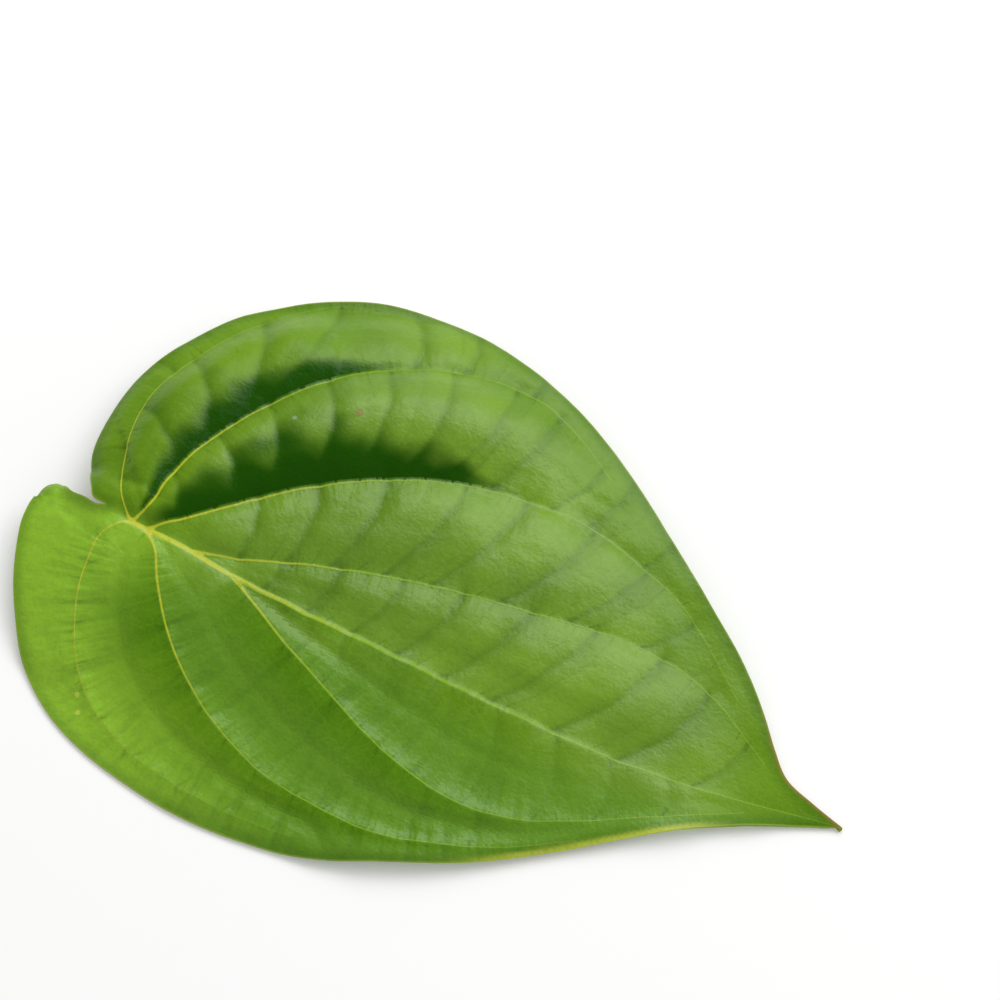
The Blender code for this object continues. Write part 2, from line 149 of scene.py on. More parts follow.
# %% The panels between the veins
# outer and inner line, first and last rung's place on the outer line, number of strong rungs,
# how much the panel swells for its width (less than 0 for a hollow), and how far its rungs lean
PANELS = (
    ("far_inner", "midrib", 0.14, 0.96, 9, 0.040, 1.05),
    ("far_second", "far_inner", 0.16, 0.97, 9, 0.045, 1.20),
    ("far_third", "far_second", 0.12, 0.97, 9, 0.130, 0.55),
    ("far_outer", "far_third", 0.12, 0.90, 5, 0.130, 1.30),
    ("far_margin", "far_outer", 0.06, 0.36, 4, 0.020, 0.0),
    ("far_margin", "far_third", 0.40, 0.60, 4, 0.060, 0.1),
    ("far_margin", "far_second", 0.66, 0.86, 4, 0.040, 0.2),
    ("near_inner", "midrib", 0.24, 0.96, 8, -0.050, 0.2),
    ("near_second", "near_inner", 0.22, 0.97, 7, -0.062, 0.1),
    ("near_third", "near_second", 0.14, 0.96, 8, -0.040, 0.0),
    ("near_margin", "near_third", 0.08, 0.50, 7, 0.020, 0.0),
    ("near_margin", "near_second", 0.58, 0.74, 3, 0.030, 0.0),
)


def uneven(number):
    """A fixed value between -1 and 1 that looks random and is the same in each run."""
    return 2 * ((math.sin(number * 12.9898) * 43758.5453) % 1) - 1


NEAR_RUNGS = 0.5       # the near half's rungs, as a share of the far half's
SHORTEST_RUNG = 3.5    # in mm
RUNG_STEP = 0.6        # between the points of a rung, in mm


def cross_veins():
    """Each rung's line and strength. The strong ones also go into ladders, by panel."""
    rungs = []
    for panel, (outer, inner, first, last, count, _, lean) in enumerate(PANELS):
        outer_line, inner_line = lines[outer], lines[inner]
        for index, place in enumerate(np.linspace(first, last, 2 * count - 1)):
            strong = index % 2 == 0
            seed = 29 * panel + index + 1
            place += (0.12 if strong else 0.3) * uneven(seed) * (last - first) / count
            start = outer_line[round(min(place, 0.99) * (len(outer_line) - 1))]
            nearest = np.argmin(np.linalg.norm(inner_line - start, axis=1))
            length = np.linalg.norm(inner_line[nearest] - start)
            if length < SHORTEST_RUNG:
                continue
            back = lean * place * (length - 3) / LINE_STEP
            end = inner_line[max(1, nearest - round(back))]
            length = np.linalg.norm(end - start)
            t = np.linspace(0, 1, max(3, round(length / RUNG_STEP)))[:, None]
            bow = np.array([0.10 * length + 0.35 * uneven(seed + 40), 0]) * 4 * t * (1 - t)
            sway = 0.16 * np.sin(2 * math.pi * (t * 2.3 + uneven(seed))) * np.sin(math.pi * t)
            along = (end - start) / length
            line = start + (end - start) * t + bow + sway * np.array([-along[1], along[0]])
            strength = 0.85 + 0.3 * uneven(seed + 7) if strong else 0.20 + 0.12 * uneven(seed + 9)
            if outer.startswith("near"):
                strength *= NEAR_RUNGS
            rungs.append((line, strength))
            if strong:
                ladders.setdefault((outer, inner), []).append(line)
    return rungs


ladders = {}   # each panel's strong rungs, in order from the stalk
rungs = cross_veins()
print(len(rungs), "cross veins, every second one weaker")

# %% [markdown]
# ## How high each point stands
#
# The leaf lies on a table like a low dome. Its midrib sinks from stalk to tip, the far half rises a
# little beside it, and the margin turns down. Only the two lobes and the tip touch the table. Each of
# these is a short table of heights along the leaf, and the share of the way from the midrib to the
# margin blends them. A sculpted mesh could do the same, but nobody could read it.

# %% Heights along the leaf, as (along, height) in mm
MIDRIB_HEIGHT = ((0, 8.0), (28, 7.6), (55, 6.2), (82, 3.3), (94, 1.4), (102, 0.8), (TIP, 0.9))
FAR_EDGE_HEIGHT = ((-12, 5.0), (-4, 2.4), (3, -0.9), (13, -0.9), (30, 2.0), (50, 3.6), (70, 3.6),
                   (88, 2.6), (100, 1.3), (TIP, 0.9))
NEAR_EDGE_HEIGHT = ((-15, 3.5), (-8, 2.2), (2, -0.8), (15, -0.8), (30, 0.5), (50, 1.6), (70, 2.0),
                    (90, 1.6), (102, 1.0), (TIP, 0.9))
CROWN_HEIGHT = ((-14, 1.2), (0, 1.2), (12, 1.2), (30, 1.6), (60, 1.3), (85, 0.1), (95, -0.2), (106, 0))
NEAR_CROWN = 0.0          # the near half's crown, as a share of the far half's
FAR_TURN = 2.6            # how late the blade turns down to its margin: 1 is a straight slope
NEAR_TURN = 1.7
EDGE_WAVE = 0.55          # how high the margin waves, in mm
SOLID_BLADE = 0.70        # the thickness of the solid leaf's blade
BLADE = 0.34              # and of this one, near a real leaf's


def distance_along(points, line):
    """Each point's distance to a line, and how far along the line its nearest place is, 0 to 1."""
    best = np.full(len(points), 1e9)
    place = np.zeros(len(points))
    for index, (start, end) in enumerate(zip(line[:-1], line[1:])):
        run = end - start
        part = np.clip((points - start) @ run / (run @ run), 0, 1)
        gap = points - start - part[:, None] * run
        away = gap[:, 0] ** 2 + gap[:, 1] ** 2
        nearer = away < best
        best[nearer] = away[nearer]
        place[nearer] = (index + part[nearer]) / (len(line) - 1)
    return np.sqrt(best), place


def curve_value(table, along):
    """A soft curve through a table of (along, value)."""
    places, heights = zip(*table)
    fine = np.linspace(places[0], places[-1], 120)
    weights = np.hanning(15)[1:-1] / np.hanning(15).sum()
    soft = np.convolve(np.pad(np.interp(fine, places, heights), 6, mode="edge"), weights, mode="valid")
    return np.interp(along, fine, soft)


def dome(points, to_rib, to_far, to_near):
    """The upper side's height before the furrows and the swellings."""
    along, across = points.T
    share = to_rib / (to_rib + np.minimum(to_far, to_near) + 1e-9)
    side = 0.5 + 0.5 * np.tanh((across - 1.0) / 1.5)
    near_edge = curve_value(NEAR_EDGE_HEIGHT, along)
    edge = near_edge + (curve_value(FAR_EDGE_HEIGHT, along) - near_edge) * side
    turn = share ** (NEAR_TURN + (FAR_TURN - NEAR_TURN) * side)
    wave = EDGE_WAVE * share ** 4 * np.sin(along / 6.1 + 1.1 * np.sign(across))
    crown = curve_value(CROWN_HEIGHT, along) * np.sin(math.pi * share)
    crown = crown * (NEAR_CROWN + (1 - NEAR_CROWN) * side)
    return curve_value(MIDRIB_HEIGHT, along) * (1 - turn) + edge * turn + crown + wave


print("the midrib is", curve_value(MIDRIB_HEIGHT, 40.0).round(1), "mm up, 40 mm from the stalk")

# %% [markdown]
# ## The mesh
#
# The leaf's outline is filled with small triangles, and every vein is an edge of the mesh, so a vein
# can be sharp however thin it is. Delaunay triangulation does this in one call: it takes the lines
# that must stay and a cloud of points between them. A grid would cut across the veins in steps.

# %% Fill the outline with points, clear of the lines
FILL_STEP = 0.50          # between the points that fill the outline, in mm
FILL_GAP = 0.27           # the least distance from one of them to a line
SHOULDERS = (0.5, 1.05)   # how far the rows of points beside a vein lie from it
SHOULDER_GAP = 0.45       # and the least distance from such a point to another line
MERGE = 0.01              # points closer than this become one


def inside_outline(points, ring):
    inside = np.zeros(len(points), bool)
    for (x0, y0), (x1, y1) in zip(ring, np.roll(ring, -1, axis=0)):
        crosses = (y0 > points[:, 1]) != (y1 > points[:, 1])
        at = x0 + (points[:, 1] - y0) * (x1 - x0) / (y1 - y0 if y1 != y0 else 1)
        inside ^= crosses & (points[:, 0] < at)
    return inside


def fill_points(ring, fixed):
    """A triangular pattern of points inside the ring, none closer than FILL_GAP to a fixed one."""
    low, high = ring.min(axis=0), ring.max(axis=0)
    rows = np.arange(low[1], high[1], FILL_STEP * math.sqrt(3) / 2)
    pattern = []
    for number, y in enumerate(rows):
        x = np.arange(low[0] + (number % 2) * FILL_STEP / 2, high[0], FILL_STEP)
        pattern.append(np.stack([x, np.full(len(x), y)], axis=1))
    pattern = np.vstack(pattern)
    pattern = pattern[inside_outline(pattern, ring)]
    tree = kdtree.KDTree(len(fixed))
    for index, (x, y) in enumerate(fixed):
        tree.insert((x, y, 0), index)
    tree.balance()
    clear = [tree.find((x, y, 0))[2] > FILL_GAP for x, y in pattern]
    return pattern[clear]


def vein_shoulders(name):
    """Rows of points close beside a vein, so that its pale line has even edges."""
    line = lines[name]
    run = np.gradient(line, axis=0)
    square = np.stack([-run[:, 1], run[:, 0]], axis=1) / np.linalg.norm(run, axis=1)[:, None]
    others = np.vstack([other for key, other in lines.items() if key != name])
    rows = []
    for side in (-SHOULDERS[1], -SHOULDERS[0], *SHOULDERS):
        for point in line[1:-1] + side * square[1:-1]:
            if np.linalg.norm(others - point, axis=1).min() > max(SHOULDER_GAP, abs(side)):
                rows.append(point)
    return rows


ring = np.vstack([lines["far_margin"], lines["near_margin"][-2:0:-1]])
plan, links = [], []


def keep_line(line, closed=False):
    """Put a line's points in the plan and ask for an edge between each two."""
    first = len(plan)
    plan.extend(line)
    links.extend((first + k, first + k + 1) for k in range(len(line) - 1))
    if closed:
        links.append((first + len(line) - 1, first))


keep_line(ring, closed=True)
for vein_name in ["midrib", *MAIN_VEINS]:
    keep_line(lines[vein_name])
for rung, _ in rungs:
    keep_line(rung)
for vein_name in ["midrib", *MAIN_VEINS]:
    plan.extend(vein_shoulders(vein_name))
plan.extend(fill_points(ring, plan))
found = delaunay_2d_cdt([Vector((float(x), float(y))) for x, y in plan], links, [], 1, MERGE)
plan = np.array([tuple(point) for point in found[0]])
triangles = [tuple(face) for face in found[2]]
print(len(plan), "points and", len(triangles), "triangles on one side")

# %% [markdown]
# ## Furrows above, ribs below
#
# Seen from above the veins lie in furrows. Between them the far half swells, which catches the light
# in bands, and the near half has shallow hollows. Below, the same veins stand out as ribs. Both fade
# along each vein, because a vein thins towards its end. The distances found here are kept on the mesh
# as named attributes, and the materials read them later, so that the colour of a vein lies exactly in
# its furrow.

# %% Measure every point against every vein
MIDRIB_FURROW = (0.75, 2.2)    # depth and width
MAIN_FURROW = (0.60, 1.6)
CROSS_FURROW = (0.95, 1.9)
ROUNDING = 0.22                # how blunt the bottom of a furrow is
NEAR_DEPTH = 0.20              # the near half's main furrows, as a share of the far half's
MIDRIB_RIB = (1.5, 0.35)       # height below, at the stalk and at the end
MAIN_RIB = (0.85, 0.22)
CROSS_RIB = 0.14
MIDRIB_LINE = (0.43, 0.03)     # half the pale line's width, at the stalk and at the end
MAIN_LINE = (0.17, 0.05)
FAINT_LINE = 0.65              # the faint veins' lines, as a share of the others'
FAINT = ("far_outer", "near_third")
VEIN_FADE = 0.72               # how much of its furrow a vein has lost at its end
RUNG_REACH = 14                # how far from a rung's middle it is looked for, in mm
EDGE_FADE = 4                  # how far from the margin the rungs' furrows begin to fade, in mm
FAR = 50.0                     # a distance longer than any that counts, in mm
BEHIND_NOTCH = (-16.5, 4.6)    # where the line between the two lobes leaves the leaf


def left_of(points, line):
    """Each point's distance to the left of a line, negative on its right, and its place."""
    away, place = distance_along(points, line)
    at = np.clip((place * (len(line) - 1)).astype(int), 0, len(line) - 2)
    run, gap = line[at + 1] - line[at], points - line[at]
    return away * np.sign(run[:, 0] * gap[:, 1] - run[:, 1] * gap[:, 0]), place


def furrow_shape(away, width):
    """1 in the bottom of a furrow, falling off quickly at first and slowly later."""
    return np.exp(-(np.sqrt(away ** 2 + ROUNDING ** 2) - ROUNDING) / width)


margin_away = np.minimum(distance_along(plan, lines["far_margin"])[0],
                         distance_along(plan, lines["near_margin"])[0])
furrow = np.zeros(len(plan))
rib = np.zeros(len(plan))
vein_run = np.zeros(len(plan))          # place along the nearest main vein, in mm
second_away = np.full(len(plan), FAR)   # distance to the second nearest
halves = np.vstack([BEHIND_NOTCH, NOTCH, lines["midrib"]])   # the midrib, and the notch behind it
from_middle, _ = left_of(plan, halves)
far_side = 0.5 + 0.5 * np.tanh(from_middle / 0.4)
vein_near = np.full(len(plan), FAR)     # distance in half widths of the pale line
vein_away = np.full(len(plan), FAR)     # distance in mm
rung_near = np.full(len(plan), FAR)     # distance in mm, made longer where the rung is weak
to_rib = None
for vein_name in ["midrib", *MAIN_VEINS]:
    away, place = distance_along(plan, lines[vein_name])
    is_midrib = vein_name == "midrib"
    depth, width = MIDRIB_FURROW if is_midrib else MAIN_FURROW
    thick, thin = MIDRIB_RIB if is_midrib else MAIN_RIB
    wide, narrow = MIDRIB_LINE if is_midrib else MAIN_LINE
    fade = 1 - VEIN_FADE * place
    depth = depth * (NEAR_DEPTH + (1 - NEAR_DEPTH) * far_side)
    furrow = np.maximum(furrow, depth * fade * furrow_shape(away, width))
    rib = np.maximum(rib, (thick + (thin - thick) * place) * np.exp(-(away / 0.9) ** 2))
    half = (narrow + (wide - narrow) * (1 - place)) * (FAINT_LINE if vein_name in FAINT else 1)
    vein_near = np.minimum(vein_near, away / half)
    vein_run = np.where(away < vein_away, place * len(lines[vein_name]) * LINE_STEP, vein_run)
    second_away = np.minimum(second_away, np.maximum(vein_away, away))
    vein_away = np.minimum(vein_away, away)
    to_rib = away if is_midrib else to_rib
for rung, strength in rungs:
    close = np.abs(plan - rung.mean(axis=0)).max(axis=1) < RUNG_REACH
    away, _ = distance_along(plan[close], rung)
    depth, width = CROSS_FURROW
    crease = depth * strength * furrow_shape(away, width) * np.clip(margin_away[close] / EDGE_FADE, 0, 1)
    furrow[close] = furrow[close] + crease * np.clip(1 - furrow[close] / 1.2, 0.2, 1)
    rib[close] = np.maximum(rib[close], CROSS_RIB * strength * np.exp(-(away / 0.5) ** 2))
    rung_near[close] = np.minimum(rung_near[close], away / strength)
print("the deepest furrow is", furrow.max().round(2), "mm and the highest rib", rib.max().round(2))

# %% The swelling of each panel, and the banks of painted shade beyond the two strongest veins
# The banks are painted shade: dark green on the slope that rises beyond each of the two strongest veins.
SHADE_BANKS = {   # how much of the panel is deep green, as (place along the vein, share of the panel)
    "far_second": ((0, 0.60), (0.16, 0.60), (0.28, 0.48), (0.36, 0.28), (0.48, 0.12), (0.6, 0.01),
                   (1, 0.01)),
    "far_third": ((0, 0.20), (0.15, 0.32), (0.28, 0.33), (0.42, 0.20), (0.52, 0.10), (0.62, 0.01),
                  (1, 0.01)),
}
SHADE_TEETH = {"far_second": 0.38, "far_third": 0.22}   # how far a bank's edge steps at each rung
HOLLOW_SKEW = 2.0   # how much nearer to its outer vein a hollow is deepest: 1 is in the middle
RUNG_EASE = 1.3     # how far before a rung its bank's step begins, in mm
RUNG_SIGHT = 6.0    # how far a point looks for the rungs on both sides of it, in mm


def soft_step(value, low, high):
    """0 below low, 1 above high, and a soft way up between them."""
    t = np.clip((value - low) / (high - low), 0, 1)
    return t * t * (3 - 2 * t)


def way_to_next_rung(points, ladder):
    """0 just after a rung, growing towards 1 before the next one, and the gap between the two in mm."""
    passed = np.full(len(points), RUNG_SIGHT)
    ahead = np.full(len(points), RUNG_SIGHT)
    for rung in ladder:
        left, _ = left_of(points, rung)
        left = -left if rung[0][1] < rung[-1][1] else left
        passed = np.where(left > 0, np.minimum(passed, left), passed)
        ahead = np.where(left <= 0, np.minimum(ahead, -left), ahead)
    phase = passed / (passed + ahead) * soft_step(ahead, 0, RUNG_EASE)
    return phase, passed + ahead


measured = {name: left_of(plan, line) for name, line in lines.items()}
swell = np.zeros(len(plan))
shade = np.zeros(len(plan))
# Painted shade: the near half is darker just beside each panel's inner vein
deep = np.zeros(len(plan))              # the near half's deep green, beside each panel's inner vein
phase = np.full(len(plan), 0.5)
rung_gap = np.full(len(plan), 2 * RUNG_SIGHT)   # between the rungs before and after a point, in mm
uneven_edge = np.array([noise.noise((x / 4.0, y / 4.0, 9.2)) for x, y in plan])
for outer, inner, _, _, _, rise, _ in PANELS:
    side = 1 if outer.startswith("far") else -1
    to_inner, inner_place = measured[inner]
    to_outer, outer_place = measured[outer]
    between = (side * to_inner > 0) & (side * to_outer < 0)
    for name, place in ((inner, inner_place), (outer, outer_place)):
        if name in MAIN_VEINS:
            between = between * soft_step(place, 0.0, 0.02) * soft_step(1 - place, 0.0, 0.3)
    width = np.abs(to_inner) + np.abs(to_outer) + 1e-9
    part = np.abs(to_inner) / width
    bulge = between * rise * width * np.sin(math.pi * part ** (1 if side > 0 else HOLLOW_SKEW))
    if side < 0 and inner != "near_third":
        bulge = bulge * soft_step(outer_place, 0.1, 0.4)
        deep = np.maximum(deep, between * (1 - soft_step(part, 0.1, 0.55)))
    swell += bulge
    if (outer, inner) in ladders:
        here = np.flatnonzero(between > 0)
        found_phase, found_gap = way_to_next_rung(plan[here], ladders[outer, inner])
        closer = found_gap < rung_gap[here]
        phase[here[closer]] = found_phase[closer]
        rung_gap[here[closer]] = found_gap[closer]
# Painted shade of the banks, with an uneven edge that steps at each rung
for name, bank in SHADE_BANKS.items():
    left, place = measured[name]
    beyond = [np.abs(measured[key][0]) for key in ("far_third", "far_outer", "far_margin")
              if key != name]
    part = left / (left + np.minimum.reduce(beyond) + 1e-9)
    reach = np.interp(place, *zip(*bank))
    edge = part / reach + 0.35 * uneven_edge + SHADE_TEETH[name] * (phase - 0.4)
    bank = soft_step(left, -0.05, 0.25) * soft_step(place, 0.0, 0.04)
    shade = np.maximum(shade, bank * soft_step(reach, 0.03, 0.15) * (1 - soft_step(edge, 0.5, 1.4)))
print("the panels swell by up to", swell.max().round(2), "mm")
print("the banks cover", round(100 * float((shade > 0.5).mean()), 1), "% of the blade")

# %% Add it all up: dome, swellings, furrows and small wrinkles
WRINKLE = 0.08   # height of the small wrinkles, in mm
UNEVEN = 0.30    # and of the wide shallow ones
LIFT = 0.03      # the least height of the underside between its ribs
LANDING = 0.5    # how softly the blade comes down on the table
NOTCH_EDGE = 9   # this much of the margin beside the notch doesn't turn down, in mm

lobe_start = round(NOTCH_EDGE / LINE_STEP)
to_far, _ = distance_along(plan, lines["far_margin"][lobe_start:])
to_near, _ = distance_along(plan, lines["near_margin"][lobe_start:])
height = dome(plan, to_rib, to_far, to_near)
wrinkle = np.array([noise.noise((x / 2.6, y / 3.4, 0.3)) + 0.5 * noise.noise((x / 1.2, y / 1.2, 5.1))
                    for x, y in plan])
wide = np.array([noise.noise((x / 7.0, y / 9.0, 2.7)) for x, y in plan])
away_from_veins = np.clip(vein_away / 1.5, 0, 1)
top = height + swell - furrow + (WRINKLE * wrinkle + UNEVEN * wide) * away_from_veins
rise = top - SOLID_BLADE - LIFT
top = BLADE + LIFT + (rise + np.sqrt(rise ** 2 + LANDING ** 2)) / 2
print("the upper side reaches from", top.min().round(2), "to", top.max().round(2), "mm")

# %% [markdown]
# ## From a sheet to a blade
#
# The sheet is the leaf's upper side. A Solidify modifier grows the blade downwards from it, and a
# vertex group makes it thicker where a rib is, so the ribs stand out below and the upper side keeps
# its shape. The modifier's material offset gives the two sides their own materials.

# %% Make the sheet, with its attributes, and thicken it
leaf_middle = (ring.min(axis=0) + ring.max(axis=0)) / 2
frame_middle = [(a + b) / 2 for a, b in zip(leaf_low, leaf_high)]


def place_in_frame(along, across, up):
    """A point of the leaf, in the frame's metres."""
    return Vector((frame_middle[0] + (along - leaf_middle[0]) * MM,
                   frame_middle[1] + (across - leaf_middle[1]) * MM, up * MM))


def keep_attribute(mesh, name, values):
    layer = mesh.attributes.new(name, "FLOAT", "POINT")
    layer.data.foreach_set("value", np.asarray(values, np.float32))


sheet = bpy.data.meshes.new("leaf_sheet")
sheet.from_pydata([place_in_frame(x, y, z) for (x, y), z in zip(plan, top)], [], triangles)
sheet.update()
# Where each region comes or goes, in mm along the leaf
PLEATS_ALONG = (55, 85)
NEAR_SHADE_ALONG = (60, 85)
LOBE_ALONG = (2, 48)
FAR_BACK_ALONG = (2, 34)
GLOW_RIM_START = (60, 72)
GLOW_RIM_END = (88, 97)
RED_RIM_START = (90, 99)
TIP_START = (84, 100)
# And in from the margin
LOBE_IN = (5, 20)
FAR_BACK_IN = (9, 20)
FAR_STRIP_IN = (4, 12)
GLOW_RIM_IN = (0.3, 1.0)
RED_RIM_IN = (0.05, 0.5)
along = plan[:, 0]


def fading(value, low, high):
    """1 below low and 0 above high."""
    return 1 - soft_step(value, low, high)


# Fine ridges and coarser pleats run out from the nearest main vein, and both end halfway to the next.
ridged = np.exp(-vein_away / 3.0) * np.clip((second_away - vein_away) / 2.5, 0, 1) * (1 - shade)
pleated = np.exp(-vein_away / 5.0) * np.clip((second_away - vein_away) / 3, 0, 1) * (1 - shade)
pleated = pleated * (1 - 0.6 * far_side) * fading(along, *PLEATS_ALONG)
deep = deep * np.clip(along / 8, 0, 1) * fading(along, *NEAR_SHADE_ALONG)
# Regions: the light near lobe, the far half's dark back, and two stretches of the margin, one a pale lip
# partly painted as a glow of light coming through it
lobe = fading(margin_away, *LOBE_IN) * fading(along, *LOBE_ALONG) * (1 - far_side)
far_back = far_side * fading(margin_away, *FAR_BACK_IN) * fading(along, *FAR_BACK_ALONG)
# The near margin towards the tip: partly its own pale lip, partly a painted glow of light coming through
# the blade
lip_and_glow = soft_step(along, *GLOW_RIM_START) * fading(along, *GLOW_RIM_END) * (1 - far_side)
lip_and_glow = lip_and_glow * fading(margin_away, *GLOW_RIM_IN)
red_rim = soft_step(along, *RED_RIM_START) * far_side * fading(margin_away, *RED_RIM_IN)
# The wax is thin on the far back, the tip, the banks of painted shade, the far strip and the near half's
# painted shade.
tip = soft_step(along, *TIP_START)
far_strip = far_side * fading(margin_away, *FAR_STRIP_IN)
dull = np.maximum.reduce([0.75 * far_back, 0.85 * tip, 0.7 * shade, 0.3 * far_strip, 0.8 * deep])
kept = {
    "vein_near": vein_near, "vein_away": vein_away, "vein_run": vein_run, "rung_near": rung_near,
    "phase": phase, "shade": shade, "deep": deep, "ridged": ridged, "pleated": pleated,
    "along": along / TIP, "from_stalk": np.hypot(*plan.T) / TIP, "from_middle": from_middle,
    "edge_away": margin_away, "lobe": lobe, "far_back": far_back, "lip_and_glow": lip_and_glow,
    "red_rim": red_rim, "wax": 1 - dull,
}
for name, values in kept.items():
    keep_attribute(sheet, name, values)

# The blade's thickness, which the modifier reads from a vertex group
blank = bpy.data.objects.new("leaf_blank", sheet)
bpy.context.scene.collection.objects.link(blank)
thickness = BLADE + rib
group = blank.vertex_groups.new(name="thickness")
for index, value in enumerate(thickness):
    group.add([index], float(value / thickness.max()), "REPLACE")
shell = blank.modifiers.new("blade", "SOLIDIFY")
shell.thickness = float(thickness.max()) * MM
shell.offset = -1
shell.vertex_group = "thickness"
shell.material_offset = 1
print("the blade is", BLADE, "mm thick, and", thickness.max().round(2), "mm through the midrib")

# %% Two-sided material slots, then the finished mesh
LOWEST = 0.02 * MM   # the least height of any point above the table
SHARP = 55           # the blade's rim stays sharp: edges that turn by more than this, in degrees
for side in ("upper side", "underside"):
    sheet.materials.append(bpy.data.materials.new("leaf " + side))
upper_material, under_material = sheet.materials
bpy.context.view_layer.update()
finished = bpy.data.meshes.new_from_object(blank.evaluated_get(bpy.context.evaluated_depsgraph_get()))
for vertex in finished.vertices:
    vertex.co.z = max(vertex.co.z, LOWEST)   # no rib's tip reaches below the table
finished.shade_smooth()
finished.set_sharp_from_angle(angle=math.radians(SHARP))
blade = bpy.data.objects.new("leaf_blade", finished)
bpy.context.scene.collection.objects.link(blade)
bpy.data.objects.remove(blank, do_unlink=True)
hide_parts("betel_leaf")
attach(blade, "root")
print("the finished blade has", len(finished.polygons), "faces")

# %% [markdown]
# ## The cut stalk
#
# The stalk is cut off just behind the notch, and the lobes hide it from above. It is a short tapered
# cone that runs into the midrib, a little flattened, and nearly as pale as the ribs below.

# %% Make the stalk
STALK_INNER = (5.5, -0.3, 5.7, 0.55)    # along, across, up and radius
STALK_CUT = (-6.5, 0.4, 4.3, 1.35)
STALK_SIDES = 28
STALK_RINGS = 14


def make_stalk():
    start, end = np.array(STALK_INNER), np.array(STALK_CUT)
    form = bmesh.new()
    loops = []
    for t in np.linspace(0, 1, STALK_RINGS):
        x, y, z, radius = start + (end - start) * t
        loop = []
        for turn in np.arange(STALK_SIDES) * 2 * math.pi / STALK_SIDES:
            groove = 1 - 0.10 * max(0, math.sin(turn)) ** 6 + 0.025 * math.sin(5 * turn)
            sideways, upwards = radius * groove * math.cos(turn), 0.9 * radius * groove * math.sin(turn)
            loop.append(form.verts.new(place_in_frame(x, y + sideways, z + upwards)))
        loops.append(loop)
    for one, two in zip(loops[:-1], loops[1:]):
        for k in range(STALK_SIDES):
            nxt = (k + 1) % STALK_SIDES
            form.faces.new((one[k], one[nxt], two[nxt], two[k]))
    form.faces.new(loops[0])
    cut = form.faces.new(reversed(loops[-1]))
    bmesh.ops.inset_individual(form, faces=[cut], thickness=0.12 * MM, depth=0)
    cut.material_index = 1
    bmesh.ops.recalc_face_normals(form, faces=form.faces)
    mesh = bpy.data.meshes.new("leaf_stalk")
    form.to_mesh(mesh)
    form.free()
    mesh.shade_smooth()
    mesh.set_sharp_from_angle(angle=math.radians(50))
    stalk = bpy.data.objects.new("leaf_stalk", mesh)
    bpy.context.scene.collection.objects.link(stalk)
    return stalk


stalk = make_stalk()
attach(stalk, "root")
print("the stalk has", len(stalk.data.polygons), "faces")
